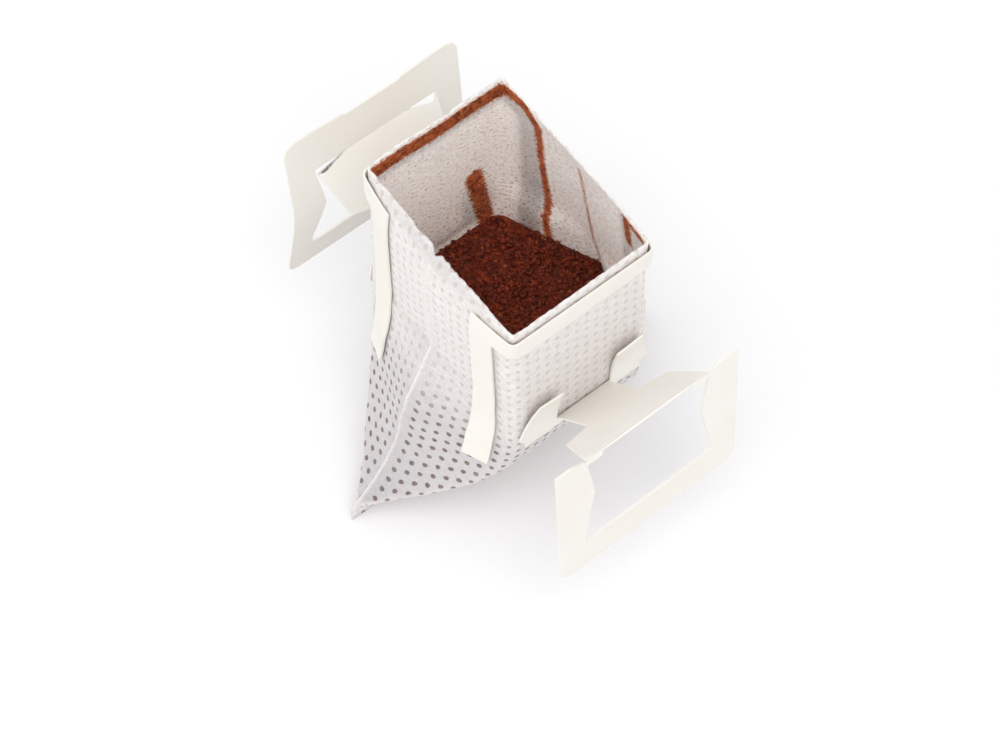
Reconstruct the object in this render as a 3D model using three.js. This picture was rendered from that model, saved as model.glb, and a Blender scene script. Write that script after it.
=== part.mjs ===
// Single-serve drip coffee bag, opened and hooked over the rim of a cup.
// Millimetres, +Z up. X runs along the mouth, the front ear is at -Y and the back ear at +Y.
// The origin is the centre of the cup's rim: the rim's top lies in the plane z = 0.

import * as THREE from 'three';

// The cup that the bag is hooked over
const rimInnerRadius = 38.5;

// Pouch of nonwoven filter cloth
const mouthHalfWidth = 15.5;
const wallHalfDepth = 21.5;
const mouthHeight = 21;
const hingeHeight = -16.5;
const wedgeHeight = 32.5;
const sealHeight = 4;
const sealHalfThickness = 0.3;
const filterThickness = 0.3;
const wedgeEasing = 2.4;
const cornerRadius = 2.5;
const mouthCornerRadius = 0.8;
const seamRidge = 0.7;
const seamHalfWidth = 0.8;
const mouthRack = 1;
const mouthShift = 1.5;
const tearDepth = 0.3;
const seamNotchDepth = 1.2;
const bulgeSharpness = 1.1;
const cornerSofteningHeight = 8;
const cornerShare = 0.45;

// Ground coffee inside the pouch
const coffeeHeight = -20;
const coffeeMound = 0.8;
const coffeeSteps = 8;

// Card that stiffens the mouth, one on each side
const cardThickness = 0.4;
const cardGap = 0.3;
const stripTopDrop = 2;
const stripHeight = 4.5;
const legWidth = 5;
const legCornerDistance = 4.7;
const legLength = 45.7;

// Card ear on each side: a hinge strip with two tabs, an arm, and a frame that hangs outside
const hingeStripHeight = 2.2;
const neckHalfWidth = 6;
const slitWidth = 0.4;
const tabTopOuter = 12.6;
const tabTopInner = 11.1;
const tabBaseHalfWidth = 15.5;
const tabTopHalfWidth = 12;
const tabLean = 2;
const tabCornerRadius = 1.8;
const flangeStart = 11.5;
const flangeSlant = 1.4;
const flangeInnerHalfWidth = 12;
const flangeOuterHalfWidth = 14.3;
const frameHalfWidth = 21.2;
const frameLength = 33.7;
const frameCornerRadius = 2.5;
const windowLength = 26;
const windowWaistDepth = 10.9;
const windowWaistHalfWidth = 12.6;
const windowBaseHalfWidth = 15.5;
const windowCornerRadius = 2;

// How each ear lies on the rim
const foldHeight = 0.5;
const frontFoldDepth = 0.2;
const frontFrameLean = 6.3;
const bridgeInnerHalfWidth = 10.5;
const bridgeLength = 1.2;
const shoulderLift = 1.3;
const backFoldDepth = 0.7;
const backBarLean = -7.4;
const backFrameLean = 9;
const backBendStart = 4;
const backBendEnd = 16;
const backFrameHalfWidth = 20.1;
const backBarHeight = 10.3;
const backBridgeHalfWidth = 7;
const backCornerCut = 1.6;
const recessHalfWidth = 6.4;
const recessSlope = 1.3;
const recessDepth = 1;

const apexHeight = hingeHeight - wedgeHeight;
const flatHalfWidth = mouthHalfWidth + wallHalfDepth;
const degree = Math.PI / 180;

const stripTop = mouthHeight - stripTopDrop;
const stripBottom = stripTop - stripHeight;
const legBottom = stripTop - legLength;

// How far the side seams stand out beyond the corners: height and reach, from the mouth down to
// the wedge's end. The walls swell where the coffee pushes them out, on the right from higher up.
const wedgeBulge = [
  [hingeHeight - 3.5, 8],
  [hingeHeight - wedgeHeight * 0.3, 8.5],
  [hingeHeight - wedgeHeight * 0.66, 5],
  [apexHeight, 0],
];
const leftBulge = [
  [mouthHeight, 0.2],
  [stripTop, 2.2],
  [stripBottom, 2.8],
  [mouthHeight * 0.5, 2.8],
  [0, 2.4],
  [hingeHeight * 0.46, 2],
  [hingeHeight * 0.85, 5.1],
  ...wedgeBulge,
];
const rightBulge = [
  [mouthHeight, 0.2],
  [stripTop, 0.7],
  [stripBottom, 1.8],
  [mouthHeight * 0.5, 2.5],
  [0, 4],
  [hingeHeight * 0.46, 5.2],
  [hingeHeight * 0.85, 6.8],
  ...wedgeBulge,
];

// Heights at which the pouch's sections are taken, down to where its two walls nearly meet
const wallSteps = 8;
const wedgeSteps = 9;
const innerApexHeight = apexHeight + 1.6;
const pouchLevels = [mouthHeight, mouthHeight - 1, stripTop, (stripTop + stripBottom) / 2];
for (let i = 0; i < wallSteps; i += 1) {
  pouchLevels.push(THREE.MathUtils.lerp(stripBottom, hingeHeight, i / wallSteps));
}
for (let i = 0; i < wedgeSteps; i += 1) {
  pouchLevels.push(THREE.MathUtils.lerp(hingeHeight, innerApexHeight, i / wedgeSteps));
}

function interpolate(table, height) {
  if (height >= table[0][0]) return table[0][1];
  for (let i = 1; i < table.length; i += 1) {
    const [lowHeight, lowValue] = table[i];
    const [highHeight, highValue] = table[i - 1];
    if (height >= lowHeight) {
      return THREE.MathUtils.mapLinear(height, lowHeight, highHeight, lowValue, highValue);
    }
  }
  return table[table.length - 1][1];
}

// Half sizes of the pouch's four corners: a box down to the hinge line, then a wedge to the seal
function cornerAt(height) {
  const drop = THREE.MathUtils.clamp((hingeHeight - height) / wedgeHeight, 0, 1);
  const spread = wallHalfDepth * drop ** wedgeEasing;
  return { x: mouthHalfWidth + spread, y: wallHalfDepth - spread };
}

// Point on a section of the pouch. along is the distance round the flat cloth from the middle
// of the front or back wall, outset the distance outside the cloth's outer face.
function pouchPoint(sideX, sideY, along, height, outset) {
  const corner = cornerAt(height);
  const sideLength = flatHalfWidth - corner.x;
  const softening = THREE.MathUtils.clamp((mouthHeight - height) / cornerSofteningHeight, 0, 1);
  const wanted = THREE.MathUtils.lerp(mouthCornerRadius, cornerRadius, softening);
  const radius = Math.max(Math.min(wanted, sideLength * cornerShare), 0.01);
  let onFront = Math.min(along, corner.x);
  if (Math.abs(along - corner.x) < radius) {
    onFront = along - (along - corner.x + radius) ** 2 / (4 * radius);
  }
  const past = THREE.MathUtils.clamp((along - onFront) / Math.max(sideLength, 0.01), 0, 1);
  const reach = interpolate(sideX > 0 ? rightBulge : leftBulge, height);
  const roundness = THREE.MathUtils.smoothstep(height, hingeHeight * 0.85, hingeHeight * 0.46);
  const profile = THREE.MathUtils.lerp(past ** bulgeSharpness, 1 - (1 - past) ** 2, roundness);
  const bulge = reach * profile;
  const x = onFront * (corner.x + outset) / corner.x + bulge;
  const depth = Math.max(corner.y + outset * 1.15, sealHalfThickness);
  const rack = Math.max((height - hingeHeight) / (mouthHeight - hingeHeight), 0);
  const y = sideY * depth * (1 - past);
  return new THREE.Vector3(
    sideX * x + mouthRack * rack * y / wallHalfDepth,
    y + mouthShift * rack,
    height,
  );
}

// Geometry with its faces turned outward, from vertices and triangles of a closed surface
function closedGeometry(vertices, triangles) {
  let volume = 0;
  const cross = new THREE.Vector3();
  for (const [a, b, c] of triangles) {
    volume += vertices[a].dot(cross.crossVectors(vertices[b], vertices[c]));
  }
  const index = triangles.flatMap(([a, b, c]) => (volume > 0 ? [a, b, c] : [a, c, b]));
  const geometry = new THREE.BufferGeometry();
  const position = vertices.flatMap((vertex) => vertex.toArray());
  geometry.setAttribute('position', new THREE.Float32BufferAttribute(position, 3));
  geometry.setIndex(index);
  geometry.computeVertexNormals();
  return geometry;
}

// Stations round a quarter of the section, as functions of the corner's place
function quarterStations(height) {
  const corner = cornerAt(height).x;
  const side = flatHalfWidth - corner;
  const turn = Math.min(cornerRadius, side * cornerShare);
  const front = corner - turn;
  return [
    0, front * 0.3, front * 0.6, front * 0.85, front, corner - turn * 0.4, corner + turn * 0.4,
    corner + turn,
    corner + turn + (side - turn) * 0.25,
    corner + turn + (side - turn) * 0.5,
    corner + turn + (side - turn) * 0.75,
    Math.max(flatHalfWidth - seamHalfWidth, corner + turn + (side - turn) * 0.9),
    flatHalfWidth,
  ];
}

// One closed ring of stations, counter-clockwise from the middle of the front wall
function sectionRing(height, outset, ridge, edge) {
  const stations = quarterStations(height);
  const last = stations.length - 1;
  const ring = [];
  const add = (sideX, sideY, i) => {
    const level = height + (edge ? edge(sideX, stations[i]) : 0);
    const point = pouchPoint(sideX, sideY, stations[i], level, outset);
    if (i === last) point.x += sideX * ridge;
    ring.push(point);
  };
  for (let i = 0; i <= last; i += 1) add(1, -1, i);
  for (let i = last - 1; i >= 0; i -= 1) add(1, 1, i);
  for (let i = 1; i <= last; i += 1) add(-1, 1, i);
  for (let i = last - 1; i >= 1; i -= 1) add(-1, -1, i);
  return ring;
}

function bridgeRings(triangles, startA, startB, count) {
  for (let i = 0; i < count; i += 1) {
    const next = (i + 1) % count;
    triangles.push([startA + i, startA + next, startB + next]);
    triangles.push([startA + i, startB + next, startB + i]);
  }
}

// Close a ring across its front and back halves. The ring starts at the middle of the front.
function capRing(triangles, start, count) {
  const quarter = count / 4;
  const front = (k) => start + (k + count) % count;
  const back = (k) => start + (2 * quarter - k + count) % count;
  for (let k = -quarter; k < quarter; k += 1) {
    const corners = [front(k), front(k + 1), back(k + 1), back(k)];
    if (corners[0] !== corners[3]) triangles.push([corners[0], corners[2], corners[3]]);
    if (corners[1] !== corners[2]) triangles.push([corners[0], corners[1], corners[2]]);
  }
}

// The torn mouth edge: a gentle wave with a notch at each side seam
function tornEdge(sideX, along) {
  const wave = Math.sin(along * 0.9 + sideX) + 0.6 * Math.sin(along * 2.3);
  const toSeam = (flatHalfWidth - along) / seamHalfWidth;
  return tearDepth * wave - seamNotchDepth * Math.exp(-(toSeam ** 2));
}

function filterGeometry() {
  const outerLevels = [...pouchLevels, innerApexHeight, apexHeight, apexHeight - sealHeight];
  const innerLevels = [...pouchLevels, innerApexHeight];
  const vertices = [];
  const triangles = [];
  const addRing = (height, outset, ridge) => {
    const start = vertices.length;
    const edge = height === mouthHeight ? tornEdge : null;
    vertices.push(...sectionRing(height, outset, ridge, edge));
    return start;
  };
  const outer = outerLevels.map((height) => addRing(height, 0, seamRidge));
  const inner = innerLevels.map((height) => addRing(height, -filterThickness, -0.1));
  const count = outer[1] - outer[0];
  for (let i = 1; i < outer.length; i += 1) bridgeRings(triangles, outer[i], outer[i - 1], count);
  for (let i = 1; i < inner.length; i += 1) bridgeRings(triangles, inner[i - 1], inner[i], count);
  bridgeRings(triangles, outer[0], inner[0], count);
  capRing(triangles, inner[inner.length - 1], count);
  const bottom = [];
  capRing(bottom, outer[outer.length - 1], count);
  triangles.push(...bottom.map(([a, b, c]) => [a, c, b]));
  return closedGeometry(vertices, triangles);
}

function coffeeGeometry() {
  const inset = -(filterThickness + cardGap);
  const bottom = innerApexHeight + 1.6;
  const vertices = [];
  const triangles = [];
  const starts = [];
  for (let i = 0; i < coffeeSteps; i += 1) {
    const height = THREE.MathUtils.lerp(coffeeHeight, bottom, i / (coffeeSteps - 1));
    starts.push(vertices.length);
    vertices.push(...sectionRing(height, inset, -cardGap, null));
  }
  const count = starts[1] - starts[0];
  for (let i = 1; i < starts.length; i += 1) {
    bridgeRings(triangles, starts[i], starts[i - 1], count);
  }
  const middle = new THREE.Vector3(0, 0, coffeeHeight + coffeeMound);
  let previous = starts[0];
  for (const share of [0.66, 0.33]) {
    const start = vertices.length;
    for (let i = 0; i < count; i += 1) {
      const point = vertices[starts[0] + i].clone().lerp(middle, 1 - share);
      point.z = coffeeHeight + coffeeMound * (1 - share);
      vertices.push(point);
    }
    bridgeRings(triangles, previous, start, count);
    previous = start;
  }
  vertices.push(middle);
  const centre = vertices.length - 1;
  for (let i = 0; i < count; i += 1) {
    triangles.push([previous + i, previous + (i + 1) % count, centre]);
  }
  const underside = [];
  capRing(underside, starts[starts.length - 1], count);
  triangles.push(...underside.map(([a, b, c]) => [a, c, b]));
  return closedGeometry(vertices, triangles);
}

// Card of even thickness, from patches of its middle surface. A patch is a grid of points,
// and cells that share an edge are joined, so a folded card comes out as one solid. A turned
// patch is one whose rows run against the rows of the patch that it joins.
function cardGeometry(patches) {
  const middle = [];
  const quads = [];
  const known = new Map();
  const vertexAt = (point) => {
    const key = point.toArray().map((value) => Math.round(value * 1000)).join();
    if (!known.has(key)) {
      known.set(key, middle.length);
      middle.push(point);
    }
    return known.get(key);
  };
  for (const { rows, filled, turned } of patches) {
    for (let i = 0; i + 1 < rows.length; i += 1) {
      for (let j = 0; j + 1 < rows[i].length; j += 1) {
        if (filled(i, j)) {
          const corners = [rows[i][j], rows[i][j + 1], rows[i + 1][j + 1], rows[i + 1][j]];
          if (turned) corners.reverse();
          quads.push(corners.map(vertexAt));
        }
      }
    }
  }
  const normals = middle.map(() => new THREE.Vector3());
  const faceNormals = quads.map(([a, b, c, d]) => {
    const diagonal = middle[c].clone().sub(middle[a]);
    const other = middle[d].clone().sub(middle[b]);
    return diagonal.cross(other).normalize();
  });
  quads.forEach((quad, i) => quad.forEach((v) => normals[v].add(faceNormals[i])));
  normals.forEach((normal) => normal.normalize());
  const reach = middle.map(() => 1);
  quads.forEach((quad, i) => quad.forEach((v) => {
    reach[v] = Math.max(reach[v], Math.min(1 / normals[v].dot(faceNormals[i]), 1.6));
  }));
  const half = cardThickness / 2;
  const offset = (v, sign) => middle[v].clone().addScaledVector(normals[v], sign * half * reach[v]);
  const upper = middle.map((point, v) => offset(v, 1));
  const lower = middle.map((point, v) => offset(v, -1));
  const count = middle.length;
  const triangles = [];
  const edges = new Map();
  for (const [a, b, c, d] of quads) {
    triangles.push([a, b, c], [a, c, d]);
    triangles.push([count + a, count + c, count + b], [count + a, count + d, count + c]);
    for (const [from, to] of [[a, b], [b, c], [c, d], [d, a]]) edges.set(`${from},${to}`, [from, to]);
  }
  for (const [from, to] of edges.values()) {
    if (!edges.has(`${to},${from}`)) {
      triangles.push([to, from, count + from], [to, count + from, count + to]);
    }
  }
  return closedGeometry([...upper, ...lower], triangles);
}

// Mirror a list of half widths to a full row, from the left edge to the right
function bothSides(values) {
  return [...values.slice(1).reverse().map((value) => -value), ...values];
}

// Card at the mouth: a strip round one wall's two corners, with a leg at each end
function mouthCardGeometry(sideY) {
  const legInner = mouthHalfWidth + legCornerDistance;
  const legOuter = legInner + legWidth;
  const beforeTurn = mouthHalfWidth - cornerRadius;
  const stations = bothSides([0, beforeTurn * 0.4, beforeTurn * 0.8, beforeTurn,
    mouthHalfWidth - cornerRadius * 0.36, mouthHalfWidth, mouthHalfWidth + cornerRadius * 0.36,
    mouthHalfWidth + cornerRadius, legInner, legInner + legWidth / 2, legOuter]);
  const covered = pouchLevels.filter((height) => height <= stripTop && height > legBottom);
  const heights = [...covered, legBottom].reverse();
  const middle = cardGap + cardThickness / 2;
  const rows = heights.map((height) => stations.map((along) => (
    pouchPoint(Math.sign(along) || 1, sideY, Math.abs(along), height, middle))));
  const stripStart = heights.indexOf(stripBottom);
  const legCells = (j) => Math.abs((stations[j] + stations[j + 1]) / 2) > legInner;
  return cardGeometry([{ rows, filled: (i, j) => i >= stripStart || legCells(j) }]);
}

// How far a rounded corner draws an edge in, at a distance from the corner's end
function cornerInset(distance, radius) {
  if (distance >= radius) return 0;
  return radius - Math.sqrt(radius ** 2 - (radius - distance) ** 2);
}

// Half width of the opening left in the frame where the arm and tabs were cut out of it
function windowHalfWidth(drop) {
  const wide = drop < windowWaistDepth
    ? THREE.MathUtils.mapLinear(drop, 0, windowWaistDepth, flangeOuterHalfWidth, windowWaistHalfWidth)
    : THREE.MathUtils.mapLinear(drop, windowWaistDepth, windowLength, windowWaistHalfWidth,
      windowBaseHalfWidth);
  return wide - cornerInset(windowLength - drop, windowCornerRadius);
}

// One ear, flat piece by flat piece from the wall outward. armPoint gives a point of the arm at a
// distance from the hinge, framePoint one of the frame at a drop below the fold, and tabPoint one
// of the card against the wall at a rise above the hinge.
function earGeometry(sideY, ear) {
  const wallY = (x, height) => pouchPoint(Math.sign(x) || 1, sideY, Math.abs(x), height, 0).y;
  const hingeY = wallY(0, hingeHeight) + sideY * (cardGap + cardThickness / 2);
  const foldY = sideY * (rimInnerRadius + ear.foldOut);
  const run = new THREE.Vector2(foldY - hingeY, foldHeight - hingeHeight);
  const armLength = run.length();
  const armDirection = run.clone().normalize();
  const armPoint = (x, distance) => new THREE.Vector3(
    x,
    hingeY + armDirection.x * distance,
    hingeHeight + armDirection.y * distance,
  );
  const framePoint = (x, drop, lift = 0) => {
    const point = new THREE.Vector3(x, foldY, foldHeight);
    const steps = 64;
    for (let i = 0; i < steps; i += 1) {
      const at = (drop - lift) * (i + 0.5) / steps;
      const bend = THREE.MathUtils.smoothstep(at, ear.bendStart, ear.bendEnd);
      const lean = THREE.MathUtils.lerp(ear.barLean, ear.frameLean, bend) * degree;
      point.y += sideY * Math.sin(lean) * (drop - lift) / steps;
      point.z -= Math.cos(lean) * (drop - lift) / steps;
    }
    return point;
  };
  const tabPoint = (x, rise) => {
    const height = hingeHeight + rise;
    const off = cardGap + cardThickness / 2 + tabLean * (Math.max(rise, 0) / tabTopOuter) ** 2;
    const base = wallY(Math.min(Math.abs(x), mouthHalfWidth - cornerRadius), height);
    return new THREE.Vector3(x, base + sideY * off, height);
  };

  // Hinge strip under the hinge line, glued to the wall
  const stripHalf = tabBaseHalfWidth - tabCornerRadius;
  const tabInner = neckHalfWidth + slitWidth;
  const stripStations = bothSides([0, 3, neckHalfWidth, tabInner, 10, stripHalf]);
  const hingeStrip = {
    rows: [-hingeStripHeight, 0].map((rise) => stripStations.map((x) => tabPoint(x, rise))),
    filled: () => true,
  };

  // Tabs that stay against the wall on either side of the neck
  const tabs = [-1, 1].map((side) => {
    const rows = [0, 0.25, 0.5, 0.75, 1, 2, 3, 4].map((step) => {
      const share = step < 1 ? step * tabCornerRadius / tabTopOuter
        : THREE.MathUtils.mapLinear(step, 1, 4, tabCornerRadius / tabTopOuter, 1);
      const outer = THREE.MathUtils.lerp(tabBaseHalfWidth, tabTopHalfWidth, share)
        - cornerInset(share * tabTopOuter, tabCornerRadius);
      const xs = [tabInner, 10, step === 0 ? stripHalf : outer];
      return xs.map((x) => {
        const top = THREE.MathUtils.mapLinear(x, tabInner, tabTopHalfWidth, tabTopInner, tabTopOuter);
        return tabPoint(side * x, share * Math.min(top, tabTopOuter));
      });
    });
    return { rows: side > 0 ? rows : rows.map((row) => [...row].reverse()), filled: () => true };
  });

  // Arm: a neck from the hinge, then a flange that widens towards the fold
  const neckSteps = [0, 3, 6, 9, flangeStart];
  const neck = {
    rows: neckSteps.map((distance) => bothSides([0, 3, neckHalfWidth])
      .map((x) => armPoint(x, distance))),
    filled: () => true,
  };
  const flangeSteps = [0, 0.12, 0.4, 0.7, 0.9, 1];
  const flange = {
    rows: flangeSteps.map((share) => {
      const outer = THREE.MathUtils.lerp(flangeInnerHalfWidth, flangeOuterHalfWidth, share);
      const cut = share === 1 ? ear.cornerCut : 0;
      const xs = [0, 3, neckHalfWidth, ear.bridgeEdge, outer - cut];
      return bothSides(xs).map((x) => {
        const beyond = Math.max(Math.abs(x) - neckHalfWidth, 0) / (outer - neckHalfWidth);
        const start = flangeStart + flangeSlant * Math.min(beyond, 1);
        const end = armLength - (Math.abs(x) > ear.bridgeEdge ? cut : 0);
        return armPoint(x, THREE.MathUtils.lerp(start, end, share));
      });
    }),
    filled: () => true,
  };

  // Frame outside the cup, with the opening that the arm and the tabs were cut from
  const drops = [0, bridgeLength, 4, 7.5, windowWaistDepth, 15, 20, windowLength - windowCornerRadius,
    windowLength - windowCornerRadius * 0.6, windowLength - windowCornerRadius * 0.25, windowLength,
    28.5, frameLength - frameCornerRadius, frameLength - frameCornerRadius * 0.55,
    frameLength - frameCornerRadius * 0.2, frameLength];
  const outerEdge = (drop) => ear.halfWidth - cornerInset(frameLength - drop, frameCornerRadius);
  const frameRow = (drop) => {
    const inner = windowHalfWidth(Math.min(drop, windowLength));
    const outer = outerEdge(drop);
    const xs = [0, 3, neckHalfWidth, ear.bridgeEdge, inner, (inner + outer) / 2, outer];
    return bothSides(xs).map((x) => {
      const shoulder = THREE.MathUtils.clamp((Math.abs(x) - inner) / 3, 0, 1);
      return framePoint(x, drop, drop === 0 ? ear.shoulderLift * shoulder : 0);
    });
  };
  const barSteps = ear.barHeight > 0 ? [1, 0.93, 0.78, 0.5, 0.12] : [];
  const barRows = barSteps.map((share) => {
    const outer = ear.halfWidth - cornerInset(ear.barHeight * (1 - share), frameCornerRadius);
    const xs = [0, 3, neckHalfWidth, ear.bridgeEdge, flangeOuterHalfWidth,
      (flangeOuterHalfWidth + outer) / 2, outer];
    return bothSides(xs).map((x) => {
      const inside = THREE.MathUtils.clamp(
        (recessHalfWidth + recessSlope - Math.abs(x)) / recessSlope, 0, 1);
      const top = ear.barHeight - recessDepth * inside;
      return framePoint(x, -share * top);
    });
  });
  const frameRows = [...barRows, ...drops.map(frameRow)];
  const windowStart = barRows.length;
  const windowEnd = windowStart + drops.indexOf(windowLength);
  const columnCentre = (frameRows[0].length - 1) / 2;
  const legColumn = (j) => Math.abs(j + 0.5 - columnCentre) > 4;
  const bridgeColumn = (j) => ear.barHeight === 0 && Math.abs(j + 0.5 - columnCentre) > 3;
  const frame = {
    rows: frameRows,
    filled: (i, j) => legColumn(j) || i < windowStart || i >= windowEnd
      || (i === windowStart && bridgeColumn(j)),
    turned: ear.barHeight > 0,
  };
  return cardGeometry([hingeStrip, ...tabs, neck, flange, frame]);
}

const frontEar = {
  foldOut: -frontFoldDepth,
  barLean: frontFrameLean,
  frameLean: frontFrameLean,
  bendStart: 0,
  bendEnd: 1,
  halfWidth: frameHalfWidth,
  bridgeEdge: bridgeInnerHalfWidth,
  cornerCut: 0,
  shoulderLift,
  barHeight: 0,
};

const backEar = {
  foldOut: backFoldDepth,
  barLean: backBarLean,
  frameLean: backFrameLean,
  bendStart: backBendStart,
  bendEnd: backBendEnd,
  halfWidth: backFrameHalfWidth,
  bridgeEdge: backBridgeHalfWidth,
  cornerCut: backCornerCut,
  shoulderLift: 0,
  barHeight: backBarHeight,
};

const filterCloth = new THREE.MeshStandardMaterial({ color: 0xe9e2dc, roughness: 0.95, metalness: 0 });
const groundCoffee = new THREE.MeshStandardMaterial({ color: 0x4a2213, roughness: 0.9, metalness: 0 });
const whiteCard = new THREE.MeshStandardMaterial({ color: 0xefece5, roughness: 0.8, metalness: 0 });

const bag = new THREE.Group();

function addPart(name, geometry, material) {
  const mesh = new THREE.Mesh(geometry, material);
  mesh.name = name;
  bag.add(mesh);
}

addPart('filter_bag', filterGeometry(), filterCloth);
addPart('coffee_grounds', coffeeGeometry(), groundCoffee);
addPart('front_mouth_card', mouthCardGeometry(-1), whiteCard);
addPart('back_mouth_card', mouthCardGeometry(1), whiteCard);
addPart('front_ear', earGeometry(-1, frontEar), whiteCard);
addPart('back_ear', earGeometry(1, backEar), whiteCard);

export default bag;
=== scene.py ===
import math
import random

import bpy
import numpy as np
from mathutils import Matrix, Vector, noise


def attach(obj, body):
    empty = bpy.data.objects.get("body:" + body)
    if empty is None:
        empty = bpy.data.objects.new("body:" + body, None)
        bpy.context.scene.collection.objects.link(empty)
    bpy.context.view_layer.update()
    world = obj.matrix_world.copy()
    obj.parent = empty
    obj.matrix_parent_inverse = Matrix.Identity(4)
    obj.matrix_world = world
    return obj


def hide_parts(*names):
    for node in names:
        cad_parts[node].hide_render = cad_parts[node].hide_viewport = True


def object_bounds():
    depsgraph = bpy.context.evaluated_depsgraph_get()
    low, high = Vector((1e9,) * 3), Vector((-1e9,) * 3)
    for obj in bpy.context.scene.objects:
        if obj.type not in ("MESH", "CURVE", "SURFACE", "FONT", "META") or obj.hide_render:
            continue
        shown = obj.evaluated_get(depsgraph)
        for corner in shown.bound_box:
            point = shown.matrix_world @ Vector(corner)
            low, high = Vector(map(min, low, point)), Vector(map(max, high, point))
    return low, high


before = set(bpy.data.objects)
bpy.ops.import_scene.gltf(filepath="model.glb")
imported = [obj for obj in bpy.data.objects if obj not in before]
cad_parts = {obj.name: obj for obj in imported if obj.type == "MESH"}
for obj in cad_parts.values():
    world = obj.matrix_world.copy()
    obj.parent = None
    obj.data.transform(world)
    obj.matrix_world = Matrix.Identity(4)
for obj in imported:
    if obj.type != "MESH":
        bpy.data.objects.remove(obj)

cad_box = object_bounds()
MM = 0.001

# Camera, in the frame's own axes: millimetres and degrees
CAMERA_HEADING = 42.0
CAMERA_ELEVATION = 60.67
CAMERA_ROLL = 2.97
CAMERA_DISTANCE = 505.93
CAMERA_SIDE_OFFSET = 1.67
CAMERA_UP_OFFSET = 18.55
CAMERA_LENS = 100.8
CAMERA_SENSOR = 36.0

# Pouch of filter cloth, in millimetres as on the solid that it stands for
MOUTH_HALF_WIDTH = 15.5
WALL_HALF_DEPTH = 21.5
MOUTH_HEIGHT = 21.0
HINGE_HEIGHT = -16.5
WEDGE_HEIGHT = 32.5
WEDGE_EASING = 2.4
SEAL_HEIGHT = 4.0
SEAL_HALF_THICKNESS = 0.3
FILTER_THICKNESS = 0.3
CORNER_RADIUS = 2.5
MOUTH_CORNER_RADIUS = 0.8
CORNER_SOFTENING_HEIGHT = 8.0
SEAM_RIDGE = 0.55
SEAM_HALF_WIDTH = 0.34
MOUTH_RACK = 1.0
MOUTH_SHIFT = 1.5
BULGE_SHARPNESS = 1.1
CORNER_SHARE = 0.45
DEPTH_OUTSET_FACTOR = 1.15
STRIP_TOP = MOUTH_HEIGHT - 2.0
STRIP_BOTTOM = STRIP_TOP - 4.5
APEX_HEIGHT = HINGE_HEIGHT - WEDGE_HEIGHT
INNER_APEX_HEIGHT = APEX_HEIGHT + 1.6
FLAT_HALF_WIDTH = MOUTH_HALF_WIDTH + WALL_HALF_DEPTH

# Bulge of each side wall: height, and how far its seam stands out beyond the corners.
# The bulge is round above ROUND_ABOVE and pointed below POINTED_BELOW.
ROUND_ABOVE = HINGE_HEIGHT * 0.46
POINTED_BELOW = HINGE_HEIGHT * 0.85
WEDGE_BULGE = [
    (HINGE_HEIGHT - 3.5, 8.0),
    (HINGE_HEIGHT - WEDGE_HEIGHT * 0.3, 8.5),
    (HINGE_HEIGHT - WEDGE_HEIGHT * 0.66, 5.0),
    (APEX_HEIGHT, 0.0),
]
LEFT_BULGE = [
    (MOUTH_HEIGHT, 0.2),
    (STRIP_TOP, 2.2),
    (STRIP_BOTTOM, 2.8),
    (MOUTH_HEIGHT * 0.5, 2.8),
    (0.0, 2.4),
    (ROUND_ABOVE, 2.0),
    (POINTED_BELOW, 5.1),
    *WEDGE_BULGE,
]
RIGHT_BULGE = [
    (MOUTH_HEIGHT, 0.2),
    (STRIP_TOP, 0.7),
    (STRIP_BOTTOM, 1.8),
    (MOUTH_HEIGHT * 0.5, 2.5),
    (0.0, 4.0),
    (ROUND_ABOVE, 5.2),
    (POINTED_BELOW, 6.8),
    *WEDGE_BULGE,
]

# Cloth's mesh, in steps and rows, and how its torn edge, waves and seam ridge fade, in millimetres
CLOTH_QUARTER_STEPS = 74
WALL_ROWS = 62
WEDGE_ROWS = 52
TORN_EDGE_REACH = 1.2
RELIEF_FADE = 4.0
RIDGE_START = 0.5
RIDGE_FULL = 5.0
INNER_RIDGE = -0.1

# Cloth's dots: columns that stand next to each other, each shifted by half a step
DOT_COLUMN_STEP = 2.25
DOT_ROW_STEP = 2.6
DOT_RADIUS = 0.51
DOT_SOFTNESS = 0.09

# Coffee dust on the inside of the cloth: how dense it is everywhere, and how soft its strokes are
DUST_ROW_STEP = 1.3
DUST_AT_RIM = 0.19
DUST_MORE_AT_COFFEE = 0.09
DUST_MOST = 0.9
STROKE_REACH = 1.5
STROKE_SOFTNESS = 2.2
STROKE_POWER = 1.5

# Ground coffee
COFFEE_HEIGHT = -20.0
COFFEE_MOUND = 0.8
COFFEE_INSET = FILTER_THICKNESS + 0.12
COFFEE_BOTTOM = -45.8
COFFEE_LEVELS = [COFFEE_HEIGHT, *range(-28, -44, -3), COFFEE_BOTTOM]
COFFEE_QUARTER_STEPS = 40
COFFEE_TOP_ROWS = 46
COFFEE_SWELL = 0.55
COFFEE_ROUGHNESS = 0.3
# Painted see-through shade on the cloth's outside: how far above the coffee it starts, how deep it
# fades in, and how fast
DARK_START = COFFEE_HEIGHT + 6.0
DARK_DEPTH = 9.0
DARK_POWER = 0.8
GRAIN_COUNT = 8000
GRAIN_SEED = 21
GRAIN_RADIUS = 0.3
GRAIN_EXTRA_RADIUS = 0.36
GRAIN_SUNK = 0.2
GRAIN_PROUD = 0.65
GRAIN_OUTERMOST_SHARE = 0.985

# Floor, in metres, and the light from all round
FLOOR_REACH = 1.5
FLOOR_DROP = 0.0002
WORLD_STRENGTH = 0.84


def seam_bulge(side_x, height):
    """How far a side seam stands out beyond the corners, right or left of the middle."""
    def reach(table):
        heights, values = zip(*reversed(table))
        return np.interp(height, heights, values)

    return np.where(side_x > 0, reach(RIGHT_BULGE), reach(LEFT_BULGE))


def smooth_step(value, low, high):
    share = np.clip((value - low) / (high - low), 0, 1)
    return share * share * (3 - 2 * share)


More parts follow.
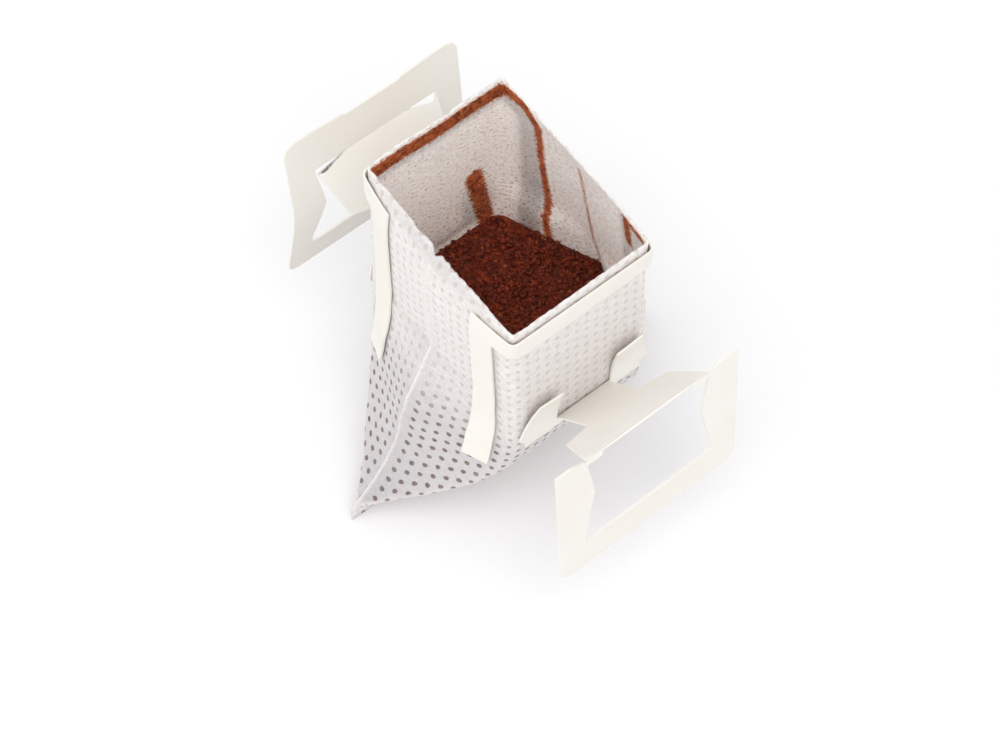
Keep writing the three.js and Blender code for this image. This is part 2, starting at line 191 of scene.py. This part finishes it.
def pouch_points(side_x, side_y, along, height, outset):
    """Points on the pouch, in millimetres, from arrays of places round the flat cloth and heights."""
    drop = np.clip((HINGE_HEIGHT - height) / WEDGE_HEIGHT, 0, 1)
    spread = WALL_HALF_DEPTH * drop ** WEDGE_EASING
    corner_x = MOUTH_HALF_WIDTH + spread
    corner_y = WALL_HALF_DEPTH - spread
    side_length = FLAT_HALF_WIDTH - corner_x
    softening = np.clip((MOUTH_HEIGHT - height) / CORNER_SOFTENING_HEIGHT, 0, 1)
    wanted = MOUTH_CORNER_RADIUS + (CORNER_RADIUS - MOUTH_CORNER_RADIUS) * softening
    radius = np.maximum(np.minimum(wanted, side_length * CORNER_SHARE), 0.01)
    rounded = along - (along - corner_x + radius) ** 2 / (4 * radius)
    on_front = np.where(np.abs(along - corner_x) < radius, rounded, np.minimum(along, corner_x))
    past = np.clip((along - on_front) / np.maximum(side_length, 0.01), 0, 1)
    roundness = smooth_step(height, POINTED_BELOW, ROUND_ABOVE)
    pointed = past ** BULGE_SHARPNESS
    profile = pointed + (1 - (1 - past) ** 2 - pointed) * roundness
    bulge = seam_bulge(side_x, height) * profile
    x = on_front * (corner_x + outset) / corner_x + bulge
    depth = np.maximum(corner_y + outset * DEPTH_OUTSET_FACTOR, SEAL_HALF_THICKNESS)
    rack = np.maximum((height - HINGE_HEIGHT) / (MOUTH_HEIGHT - HINGE_HEIGHT), 0)
    y = side_y * depth * (1 - past)
    return np.stack([
        side_x * x + MOUTH_RACK * rack * y / WALL_HALF_DEPTH,
        y + MOUTH_SHIFT * rack,
        height,
    ], axis=-1)


def ring_stations(quarter_steps):
    """Places round the cloth, anticlockwise from the middle of the front: (side_x, side_y, along)."""
    quarter = np.linspace(0, FLAT_HALF_WIDTH, quarter_steps + 1)
    parts = [
        (1, -1, quarter[:-1]),
        (1, 1, quarter[:0:-1]),
        (-1, 1, quarter[:-1]),
        (-1, -1, quarter[:0:-1]),
    ]
    side_x = np.concatenate([np.full(len(q), sx, float) for sx, _, q in parts])
    side_y = np.concatenate([np.full(len(q), sy, float) for _, sy, q in parts])
    return side_x, side_y, np.concatenate([q for _, _, q in parts])


def noise_at(points, scale, seed):
    """Smooth noise from -1 to 1 at each point, whose features are scale long."""
    return np.array([noise.noise(Vector(p) / scale + Vector((seed, seed, seed))) for p in points])


def end_faces(start, quarter_steps, turned):
    """Faces that close a ring of stations, each across from the front to the back."""
    count = 4 * quarter_steps
    faces = []
    for i in range(-quarter_steps, quarter_steps):
        across = 2 * quarter_steps - i
        ring = [i % count, (i + 1) % count, (across - 1) % count, across % count]
        corners = [start + k for k in dict.fromkeys(ring)]
        faces.append(tuple(corners[::-1] if turned else corners))
    return faces


def make_object(name, vertices, faces, smooth=True):
    """A mesh object from vertices in millimetres."""
    mesh = bpy.data.meshes.new(name)
    mesh.from_pydata([tuple(v * MM) for v in vertices], [], faces)
    mesh.validate()
    mesh.update()
    if smooth:
        mesh.polygons.foreach_set("use_smooth", [True] * len(mesh.polygons))
    piece = bpy.data.objects.new(name, mesh)
    bpy.context.collection.objects.link(piece)
    return piece


# Material building blocks
class Nodes:
    """Short ways to add and join the nodes of one material."""

    def __init__(self, name):
        self.material = bpy.data.materials.new(name)
        self.material.use_nodes = True
        self.tree = self.material.node_tree
        self.tree.nodes.clear()
        self.output = self.add("ShaderNodeOutputMaterial")
        self.shader = self.add("ShaderNodeBsdfPrincipled")
        self.link(self.shader.outputs["BSDF"], self.output.inputs["Surface"])

    def add(self, kind, **settings):
        node = self.tree.nodes.new(kind)
        for key, value in settings.items():
            setattr(node, key, value)
        return node

    def link(self, source, target):
        self.tree.links.new(source, target)

    def feed(self, target, value):
        if isinstance(value, bpy.types.NodeSocket):
            self.link(value, target)
        else:
            target.default_value = value

    def math(self, operation, a, b=0.0):
        node = self.add("ShaderNodeMath", operation=operation)
        for socket, value in zip(node.inputs, (a, b)):
            self.feed(socket, value)
        return node.outputs[0]

    def ramp(self, value, low, high, smooth=True):
        """0 below low and 1 above high, or the other way when low is the larger."""
        node = self.add("ShaderNodeMapRange", interpolation_type="SMOOTHSTEP" if smooth else "LINEAR")
        start, end = (low, high) if low < high else (high, low)
        self.feed(node.inputs["Value"], value)
        node.inputs["From Min"].default_value = start
        node.inputs["From Max"].default_value = end
        node.inputs["To Min"].default_value = 0.0 if low < high else 1.0
        node.inputs["To Max"].default_value = 1.0 if low < high else 0.0
        return node.outputs["Result"]

    def mix(self, share, a, b):
        node = self.add("ShaderNodeMix", data_type="RGBA")
        self.feed(node.inputs["Factor"], share)
        self.feed(node.inputs["A"], a)
        self.feed(node.inputs["B"], b)
        return node.outputs["Result"]

    def noise(self, vector, scale, detail=2.0, roughness=0.5, stretch=None):
        if stretch is not None:
            mapping = self.add("ShaderNodeMapping")
            self.feed(mapping.inputs["Vector"], vector)
            mapping.inputs["Scale"].default_value = stretch
            vector = mapping.outputs["Vector"]
        node = self.add("ShaderNodeTexNoise")
        self.feed(node.inputs["Vector"], vector)
        node.inputs["Scale"].default_value = scale
        node.inputs["Detail"].default_value = detail
        node.inputs["Roughness"].default_value = roughness
        return node.outputs["Fac"]

    def attribute(self, name):
        return self.add("ShaderNodeAttribute", attribute_name=name).outputs["Fac"]

    def place(self):
        """Position on the object, in metres."""
        return self.add("ShaderNodeTexCoord").outputs["Object"]

    def bump(self, height, distance, strength=1.0, below=None):
        node = self.add("ShaderNodeBump")
        node.inputs["Strength"].default_value = strength
        node.inputs["Distance"].default_value = distance
        self.link(height, node.inputs["Height"])
        if below is not None:
            self.link(below, node.inputs["Normal"])
        return node.outputs["Normal"]


def linear(red, green, blue):
    """Colour written as it looks on a screen, from 0 to 255, as the shader wants it."""
    def one(value):
        share = value / 255
        return share / 12.92 if share <= 0.04045 else ((share + 0.055) / 1.055) ** 2.4

    return (one(red), one(green), one(blue), 1.0)


def card_material():
    """Warm white card: faint mottling, fine fibres and a matt face."""
    n = Nodes("white_card_face")
    place = n.place()
    fibres = n.noise(place, 2600, 3, 0.6, (1.0, 0.25, 0.6))
    mottle = n.noise(place, 160, 2, 0.5)
    clouds = n.noise(place, 40, 1, 0.5)
    base = n.mix(mottle, linear(236, 233, 226), linear(244, 242, 236))
    tone = n.mix(n.ramp(clouds, 0.35, 0.65), base, linear(240, 236, 228))
    n.link(n.mix(n.math("MULTIPLY", fibres, 0.18), tone, linear(222, 217, 208)),
           n.shader.inputs["Base Color"])
    n.shader.inputs["Roughness"].default_value = 0.72
    n.shader.inputs["Specular IOR Level"].default_value = 0.3
    normal = n.bump(fibres, 0.00006, 0.5)
    n.link(n.bump(mottle, 0.0003, 0.15, normal), n.shader.inputs["Normal"])
    return n.material


def dot_mask(n, u, v, wobble):
    """1 inside each dot of the cloth's staggered pattern."""
    column = n.math("DIVIDE", u, DOT_COLUMN_STEP)
    column_number = n.math("FLOOR", column)
    odd = n.math("MULTIPLY", n.math("FLOORED_MODULO", column_number, 2.0), 0.5)
    across = n.math("SUBTRACT", n.math("FRACT", column), 0.5)
    row = n.math("ADD", n.math("DIVIDE", v, DOT_ROW_STEP), odd)
    along = n.math("SUBTRACT", n.math("FRACT", row), 0.5)
    across = n.math("MULTIPLY", across, DOT_COLUMN_STEP)
    along = n.math("MULTIPLY", along, DOT_ROW_STEP)
    squares = n.math("ADD", n.math("POWER", n.math("ABSOLUTE", across), 2.0),
                     n.math("POWER", n.math("ABSOLUTE", along), 2.0))
    distance = n.math("ADD", n.math("SQRT", squares), wobble)
    return n.ramp(distance, DOT_RADIUS + DOT_SOFTNESS, DOT_RADIUS - DOT_SOFTNESS)


def inside_colour(n, cloth, v, place, mat, dots):
    """Pinkish white cloth with coffee that clings to it as specks, stains and strokes."""
    pink = n.ramp(n.noise(place, 260, 2, 0.5), 0.4, 0.62)
    shade = n.mix(pink, linear(252, 247, 243), linear(248, 238, 232))
    body = n.mix(n.ramp(mat, 0.36, 0.64), linear(245, 236, 230), shade)
    clean = n.mix(n.math("MULTIPLY", dots, 0.22), body, linear(214, 200, 194))
    dust = n.attribute("dust")
    rows = n.math("SINE", n.math("MULTIPLY", v, 2 * math.pi / DUST_ROW_STEP))
    specks = n.noise(cloth, 2.1, 3, 0.66, (0.6, 1.5, 1.0))
    grain = n.math("ADD", n.ramp(specks, 0.3, 0.7, smooth=False), n.math("MULTIPLY", rows, 0.05))
    grainy = n.math("ADD", dust, grain)
    tint = n.math("MULTIPLY", n.ramp(grainy, 0.72, 1.0), 0.4)
    halo = n.math("MULTIPLY", n.ramp(dust, 0.25, 0.9), 0.75)
    tinted = n.mix(tint, clean, linear(204, 140, 106))
    stained = n.mix(halo, tinted, linear(206, 138, 98))
    patches = n.ramp(n.noise(place, 1000, 4, 0.7), 0.34, 0.66)
    brown = n.mix(patches, linear(102, 40, 14), linear(190, 100, 54))
    return n.mix(n.ramp(grainy, 0.97, 1.04), stained, brown)


def outside_colour(n, mat, dots):
    """White cloth with painted see-through shade: its dots are painted grey for the shaded inside
    behind them, and dots and cloth are painted darker where coffee lies behind them.
    """
    # Painted shade: the dots' colour stands in for the shaded inside and the coffee seen through the
    # cloth.
    dark = n.attribute("dark_behind")
    body = n.mix(n.ramp(mat, 0.36, 0.64), linear(220, 213, 209), linear(237, 231, 227))
    patchy_see_through = n.ramp(mat, 0.38, 0.62)
    coffee_seen_through_dots = n.mix(patchy_see_through, linear(92, 74, 70), linear(140, 120, 114))
    see_through_dot_shade = n.mix(dark, linear(200, 184, 180), coffee_seen_through_dots)
    share = n.math("ADD", n.math("MULTIPLY", dark, 0.18), 0.7)
    # Painted shade: the cloth is painted darker and greyer where coffee lies behind it.
    shown = n.mix(n.math("MULTIPLY", dark, 0.5), body, linear(198, 190, 194))
    return n.mix(n.math("MULTIPLY", dots, share), shown, see_through_dot_shade)


def cloth_material(name, inside):
    """Nonwoven cloth: matted fibres, dots pressed into it, coffee that clings inside, and painted
    see-through shade of the coffee behind the outside.
    """
    n = Nodes(name)
    cloth = n.add("ShaderNodeUVMap", uv_map="cloth").outputs["UV"]
    split = n.add("ShaderNodeSeparateXYZ")
    n.link(cloth, split.inputs["Vector"])
    u, v = split.outputs["X"], split.outputs["Y"]
    place = n.place()
    fibres = n.noise(place, 1500, 4, 0.62, (1.0, 1.0, 0.35))
    cross = n.noise(place, 1700, 3, 0.6, (0.4, 0.4, 1.2))
    mat = n.math("MULTIPLY", n.math("ADD", fibres, cross), 0.5)
    wobble = n.math("MULTIPLY", n.math("SUBTRACT", n.noise(place, 900, 1), 0.5), 0.35)
    from_seam = n.math("ABSOLUTE", n.math("SUBTRACT", n.math("ABSOLUTE", u), FLAT_HALF_WIDTH))
    dots = n.math("MULTIPLY", dot_mask(n, u, v, wobble), n.ramp(from_seam, 0.3, 0.7))
    if inside:
        colour = inside_colour(n, cloth, v, place, mat, dots)
    else:
        colour = outside_colour(n, mat, dots)
    n.link(colour, n.shader.inputs["Base Color"])
    n.shader.inputs["Roughness"].default_value = 0.85
    n.shader.inputs["Specular IOR Level"].default_value = 0.2
    n.shader.inputs["Subsurface Weight"].default_value = 1.0
    n.shader.inputs["Subsurface Radius"].default_value = (1.0, 0.95, 0.9)
    n.shader.inputs["Subsurface Scale"].default_value = 0.0014
    fine = n.bump(mat, 0.00012, 0.6)
    soft = n.bump(n.noise(place, 150, 3, 0.55), 0.0006, 0.25, fine)
    pressed = n.bump(n.math("SUBTRACT", 1.0, dots), 0.00008, 0.5, soft)
    n.link(pressed, n.shader.inputs["Normal"])
    return n.material


def coffee_material():
    """Dark reddish brown grounds, with lighter flecks and painted shade in the gaps between clumps."""
    n = Nodes("ground_coffee_grains")
    place = n.place()
    grains = n.add("ShaderNodeTexVoronoi")
    grains.inputs["Scale"].default_value = 1500
    n.link(place, grains.inputs["Vector"])
    parts = n.add("ShaderNodeSeparateXYZ")
    n.link(grains.outputs["Color"], parts.inputs["Vector"])
    tone = n.mix(parts.outputs["X"], linear(94, 30, 12), linear(158, 62, 28))
    fleck = n.ramp(parts.outputs["Y"], 0.97, 0.99)
    # Painted shade: larger patches of the grounds are painted darker, for the shade in the gaps
    # between clumps.
    gap_shade = n.ramp(n.noise(place, 420, 3, 0.6), 0.36, 0.6)
    shade = n.mix(n.math("MULTIPLY", gap_shade, 0.55), tone, linear(76, 26, 12))
    n.link(n.mix(fleck, shade, linear(178, 104, 60)), n.shader.inputs["Base Color"])
    n.shader.inputs["Roughness"].default_value = 0.6
    n.shader.inputs["Specular IOR Level"].default_value = 0.35
    rough = n.noise(place, 3200, 3, 0.65)
    n.link(n.bump(rough, 0.00015, 0.7), n.shader.inputs["Normal"])
    return n.material


# Coffee that clings to the inside of the cloth, as strokes: wall, start, end, half width, strength.
# A place on a wall is how far it lies from the wall's middle and its height, in millimetres.
DUST_STROKES = [
    ("back", (-15.5, 18.2), (15.5, 17.9), 1.7, 1.0),
    ("right", (21.5, 18.2), (15.2, 19.8), 1.3, 1.0),
    ("right", (15.2, 19.8), (12.0, 16.5), 1.4, 1.0),
    ("right", (12.0, 16.5), (11.9, 6.0), 1.0, 0.85),
    ("right", (11.9, 6.0), (10.6, -20.0), 0.8, 0.9),
    ("back", (9.4, -3.6), (12.6, -20.0), 2.0, 0.8),
    ("back", (8.2, -3.4), (9.6, -10.0), 0.9, 0.95),
    ("right", (0.0, 17.0), (-0.4, -20.0), 0.35, 0.7),
    ("right", (-14.2, 19.0), (-19.6, 18.8), 0.7, 0.95),
    ("right", (-14.6, 18.6), (-14.6, 11.3), 1.2, 0.8),
]


def wall_places(side_x, side_y, along):
    """For each place on the ring, its distance from the middle of each inside wall that shows."""
    on_back = np.where((side_y > 0) & (along <= MOUTH_HALF_WIDTH), side_x * along, np.nan)
    from_seam = side_y * (FLAT_HALF_WIDTH - along)
    on_right = np.where((side_x > 0) & (along >= MOUTH_HALF_WIDTH), from_seam, np.nan)
    return {"back": on_back, "right": on_right}


def dust_amount(side_x, side_y, along, height):
    """How much coffee clings at each place inside the pouch, from 0 to 1."""
    walls = wall_places(side_x, side_y, along)
    amount = DUST_AT_RIM + DUST_MORE_AT_COFFEE * np.clip(height / COFFEE_HEIGHT, 0, 1)
    for wall, start, end, half_width, strength in DUST_STROKES:
        across = walls[wall]
        (x0, z0), (x1, z1) = start, end
        length2 = (x1 - x0) ** 2 + (z1 - z0) ** 2
        share = ((across - x0) * (x1 - x0) + (height - z0) * (z1 - z0)) / length2
        share = np.clip(share, 0, 1)
        distance = np.hypot(across - x0 - share * (x1 - x0), height - z0 - share * (z1 - z0))
        depth = np.clip((half_width + STROKE_REACH - distance) / STROKE_SOFTNESS, 0, 1)
        stroke = strength * depth ** STROKE_POWER
        amount = np.maximum(amount, np.nan_to_num(stroke))
    return np.minimum(amount, DUST_MOST)


def dark_behind(height):
    """How much painted see-through shade of the dark coffee the cloth gets, from 0 to 1: more towards
    the bottom.
    """
    depth = np.clip((DARK_START - height) / DARK_DEPTH, 0, 1)
    return depth ** DARK_POWER


def cloth_relief(points):
    """How far the cloth stands out from its smooth form, in millimetres."""
    return 0.16 * noise_at(points, 9.0, 3.0) + 0.07 * noise_at(points, 3.2, 7.0)


def torn_edge(points, along):
    """How far the torn edge stands above the mouth's height, with a notch at each side seam."""
    wave = 0.35 * noise_at(points, 3.0, 11.0) + 0.3 * noise_at(points, 0.8, 5.0)
    to_seam = (FLAT_HALF_WIDTH - along) / 0.6
    return wave - 0.5 * np.exp(-to_seam ** 2)


def filter_bag():
    """The pouch's cloth, inside and outside, from its torn mouth down to the bottom seal."""
    side_x, side_y, along = ring_stations(CLOTH_QUARTER_STEPS)
    count = len(along)
    heights = np.concatenate([
        np.linspace(MOUTH_HEIGHT, HINGE_HEIGHT, WALL_ROWS)[:-1],
        np.linspace(HINGE_HEIGHT, INNER_APEX_HEIGHT, WEDGE_ROWS),
    ])
    # The outside goes on below the wedge, as the flat bottom seal
    tail = APEX_HEIGHT + np.array([0.8, 0.0, -1.3, -2.6, -SEAL_HEIGHT])
    seam = np.exp(-((FLAT_HALF_WIDTH - along) / SEAM_HALF_WIDTH) ** 2)
    mouth = pouch_points(side_x, side_y, along, np.full(count, MOUTH_HEIGHT), 0)
    edge = torn_edge(mouth, along)
    vertices, faces, slots, uvs, dark, dust = [], [], [], [], [], []

    def add_rows(levels, outset, ridge):
        start = len(vertices)
        length = np.zeros(count)
        previous = None
        for height in levels:
            level = height + edge * np.exp(-(MOUTH_HEIGHT - height) / TORN_EDGE_REACH)
            points = pouch_points(side_x, side_y, along, level, outset)
            fade = np.clip((height - APEX_HEIGHT) / RELIEF_FADE, 0, 1)
            outward = points * (1, 1, 0)
            outward /= np.maximum(np.linalg.norm(outward, axis=1), 0.01)[:, None]
            relief = cloth_relief(pouch_points(side_x, side_y, along, level, 0)) * fade
            points = points + outward * relief[:, None]
            ease = smooth_step(MOUTH_HEIGHT - height, RIDGE_START, RIDGE_FULL)
            points[:, 0] += side_x * ridge * seam * ease
            if previous is not None:
                length = length + np.linalg.norm(points - previous, axis=1)
            previous = points
            vertices.extend(points)
            around = side_x * np.where(side_y < 0, along, 2 * FLAT_HALF_WIDTH - along)
            uvs.extend(zip(around, length))
            dark.extend(dark_behind(level))
            dust.extend(dust_amount(side_x, side_y, along, level))
        return start

    def bridge(start_a, start_b, slot):
        for i in range(count):
            j = (i + 1) % count
            faces.append((start_a + i, start_a + j, start_b + j, start_b + i))
            slots.append(slot)

    outer_levels = np.concatenate([heights, tail])
    outer = add_rows(outer_levels, 0, SEAM_RIDGE)
    inner = add_rows(heights, -FILTER_THICKNESS, INNER_RIDGE)
    for i in range(len(outer_levels) - 1):
        bridge(outer + (i + 1) * count, outer + i * count, 0)
    for i in range(len(heights) - 1):
        bridge(inner + i * count, inner + (i + 1) * count, 1)
    bridge(outer, inner, 0)
    faces.extend(end_faces(inner + (len(heights) - 1) * count, CLOTH_QUARTER_STEPS, False))
    faces.extend(end_faces(outer + (len(outer_levels) - 1) * count, CLOTH_QUARTER_STEPS, True))
    slots.extend([0] * (len(faces) - len(slots)))
    piece = make_object("filter_cloth_bag", vertices, faces)
    mesh = piece.data
    mesh.materials.append(cloth_material("filter_cloth_outside", False))
    mesh.materials.append(cloth_material("filter_cloth_inside", True))
    mesh.polygons.foreach_set("material_index", slots)
    layer = mesh.uv_layers.new(name="cloth")
    for loop in mesh.loops:
        layer.data[loop.index].uv = uvs[loop.vertex_index]
    for name, values in (("dark_behind", dark), ("dust", dust)):
        mesh.attributes.new(name, "FLOAT", "POINT").data.foreach_set("value", values)
    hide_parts("filter_bag")
    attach(piece, "root")
    return piece


def share_of_rim(rim, x, y):
    """How far out a place lies on the coffee's top: 0 in the middle, 1 at the cloth."""
    angle = math.atan2(y, x)
    angles = np.arctan2(rim[:, 1], rim[:, 0])
    order = np.argsort(angles)
    reach = np.interp(angle, angles[order], np.hypot(rim[:, 0], rim[:, 1])[order],
                      period=2 * math.pi)
    return math.hypot(x, y) / reach


def coffee_body():
    """The heap's body in the wedge and its rough top: vertices, faces and the top's rim."""
    side_x, side_y, along = ring_stations(COFFEE_QUARTER_STEPS)
    count = len(along)
    vertices, faces = [], []
    for height in COFFEE_LEVELS:
        points = pouch_points(side_x, side_y, along, np.full(count, float(height)), -COFFEE_INSET)
        vertices.extend(points)
    for i in range(len(COFFEE_LEVELS) - 1):
        for k in range(count):
            j = (k + 1) % count
            faces.append(((i + 1) * count + k, (i + 1) * count + j, i * count + j, i * count + k))
    middle = np.array([0, 0, COFFEE_HEIGHT + COFFEE_MOUND])
    rim = np.array(vertices[:count])
    previous = 0
    for share in np.linspace(1, 0, COFFEE_TOP_ROWS)[1:-1]:
        ring = middle + (rim - middle) * share
        ring[:, 2] = COFFEE_HEIGHT + COFFEE_MOUND * (1 - share)
        swell = COFFEE_SWELL * noise_at(ring, 5.0, 2.0)
        ring[:, 2] += swell + COFFEE_ROUGHNESS * noise_at(ring, 1.3, 8.0)
        start = len(vertices)
        vertices.extend(ring)
        for k in range(count):
            j = (k + 1) % count
            faces.append((previous + k, previous + j, start + j, start + k))
        previous = start
    vertices.append(middle)
    centre = len(vertices) - 1
    for k in range(count):
        faces.append((previous + k, previous + (k + 1) % count, centre))
    faces.extend(end_faces((len(COFFEE_LEVELS) - 1) * count, COFFEE_QUARTER_STEPS, True))
    return vertices, faces, rim


def grain_shape():
    """A ball with 12 corners and 20 sides, which each grain distorts."""
    golden = (1 + math.sqrt(5)) / 2
    corners = [Vector(corner).normalized() for corner in (
        (-1, golden, 0), (1, golden, 0), (-1, -golden, 0), (1, -golden, 0),
        (0, -1, golden), (0, 1, golden), (0, -1, -golden), (0, 1, -golden),
        (golden, 0, -1), (golden, 0, 1), (-golden, 0, -1), (-golden, 0, 1),
    )]
    sides = [
        (0, 11, 5), (0, 5, 1), (0, 1, 7), (0, 7, 10), (0, 10, 11),
        (1, 5, 9), (5, 11, 4), (11, 10, 2), (10, 7, 6), (7, 1, 8),
        (3, 9, 4), (3, 4, 2), (3, 2, 6), (3, 6, 8), (3, 8, 9),
        (4, 9, 5), (2, 4, 11), (6, 2, 10), (8, 6, 7), (9, 8, 1),
    ]
    return corners, sides


def coffee_grounds():
    """The heap of grounds, with loose grains on its top."""
    rng = random.Random(GRAIN_SEED)
    vertices, faces, rim = coffee_body()
    corners, sides = grain_shape()
    reach_x = np.abs(rim[:, 0]).max()
    reach_y = np.abs(rim[:, 1]).max()
    placed = 0
    while placed < GRAIN_COUNT:
        x = rng.uniform(-reach_x, reach_x)
        y = rng.uniform(-reach_y, reach_y)
        share = share_of_rim(rim, x, y)
        if share > GRAIN_OUTERMOST_SHARE:
            continue
        place = Vector((x, y, 0))
        height = COFFEE_HEIGHT + COFFEE_MOUND * (1 - share)
        height += COFFEE_SWELL * noise.noise(place / 5.0 + Vector((2, 2, 2)))
        radius = GRAIN_RADIUS + GRAIN_EXTRA_RADIUS * rng.random() ** 2
        centre = Vector((x, y, height + rng.uniform(-GRAIN_SUNK, GRAIN_PROUD)))
        angle = rng.uniform(0, 2 * math.pi)
        axis = Vector((rng.uniform(-1, 1), rng.uniform(-1, 1), rng.uniform(-1, 1) + 1e-3))
        turn = Matrix.Rotation(angle, 3, axis.normalized())
        stretch = Vector((rng.uniform(0.7, 1.3), rng.uniform(0.7, 1.3), rng.uniform(0.6, 1.0)))
        start = len(vertices)
        for corner in corners:
            point = Vector(corner) * rng.uniform(0.72, 1.15)
            point = Vector((point.x * stretch.x, point.y * stretch.y, point.z * stretch.z))
            vertices.append(np.array(centre + turn @ point * radius))
        faces.extend(tuple(start + k for k in side) for side in sides)
        placed += 1
    piece = make_object("ground_coffee_heap", vertices, faces, smooth=False)
    piece.data.materials.append(coffee_material())
    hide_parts("coffee_grounds")
    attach(piece, "root")
    return piece


def dress_cards():
    """Card grain on the mouth cards and the ears."""
    material = card_material()
    for node in ("front_mouth_card", "back_mouth_card", "front_ear", "back_ear"):
        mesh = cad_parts[node].data
        mesh.materials.clear()
        mesh.materials.append(material)


def lay_floor():
    """A pale floor just under the part."""
    height = cad_box[0].z - FLOOR_DROP
    signs = ((-1, -1), (1, -1), (1, 1), (-1, 1))
    corners = [(x * FLOOR_REACH, y * FLOOR_REACH, height) for x, y in signs]
    mesh = bpy.data.meshes.new("floor")
    mesh.from_pydata(corners, [], [(0, 1, 2, 3)])
    floor = bpy.data.objects.new("floor", mesh)
    bpy.context.collection.objects.link(floor)
    n = Nodes("pale_floor")
    n.shader.inputs["Base Color"].default_value = linear(246, 246, 247)
    n.shader.inputs["Roughness"].default_value = 0.9
    n.shader.inputs["Specular IOR Level"].default_value = 0.1
    mesh.materials.append(n.material)


def light_scene():
    """Soft light from all round, and two large lamps that point at the part."""
    world = bpy.data.worlds.new("soft_world")
    bpy.context.scene.world = world
    world.use_nodes = True
    background = world.node_tree.nodes["Background"]
    background.inputs["Color"].default_value = (1.0, 1.0, 1.0, 1.0)
    background.inputs["Strength"].default_value = WORLD_STRENGTH

    def area(name, place, size, power):
        data = bpy.data.lights.new(name, "AREA")
        data.shape = "DISK"
        data.size = size
        data.energy = power
        lamp = bpy.data.objects.new(name, data)
        lamp.location = Vector(place)
        lamp.rotation_mode = "QUATERNION"
        lamp.rotation_quaternion = (-Vector(place)).to_track_quat("-Z", "Y")
        bpy.context.collection.objects.link(lamp)

    area("soft_key", (-0.32, -0.40, 1.0), 1.0, 5.0)
    area("soft_side", (-0.9, 0.5, 0.6), 0.7, 1.2)


def camera():
    """The photograph's view."""
    heading = math.radians(-CAMERA_HEADING)
    rise = math.radians(CAMERA_ELEVATION)
    roll = math.radians(CAMERA_ROLL)
    level = math.cos(rise)
    back = Vector((math.sin(heading) * level, -math.cos(heading) * level, math.sin(rise)))
    right = Vector((math.cos(heading), math.sin(heading), 0))
    up = back.cross(right)
    turned_right = right * math.cos(roll) + up * math.sin(roll)
    turned_up = up * math.cos(roll) - right * math.sin(roll)
    place = (back * CAMERA_DISTANCE - turned_right * CAMERA_SIDE_OFFSET
             - turned_up * CAMERA_UP_OFFSET) * MM
    data = bpy.data.cameras.new("photo_view")
    data.lens = CAMERA_LENS
    data.sensor_width = CAMERA_SENSOR
    data.clip_start = 0.01
    data.clip_end = 20
    viewer = bpy.data.objects.new("photo_view", data)
    bpy.context.collection.objects.link(viewer)
    viewer.matrix_world = Matrix((
        (turned_right.x, turned_up.x, back.x, place.x),
        (turned_right.y, turned_up.y, back.y, place.y),
        (turned_right.z, turned_up.z, back.z, place.z),
        (0, 0, 0, 1)))
    bpy.context.scene.camera = viewer


bpy.context.scene.view_settings.view_transform = "Standard"
camera()
lay_floor()
light_scene()
filter_bag()
coffee_grounds()
dress_cards()
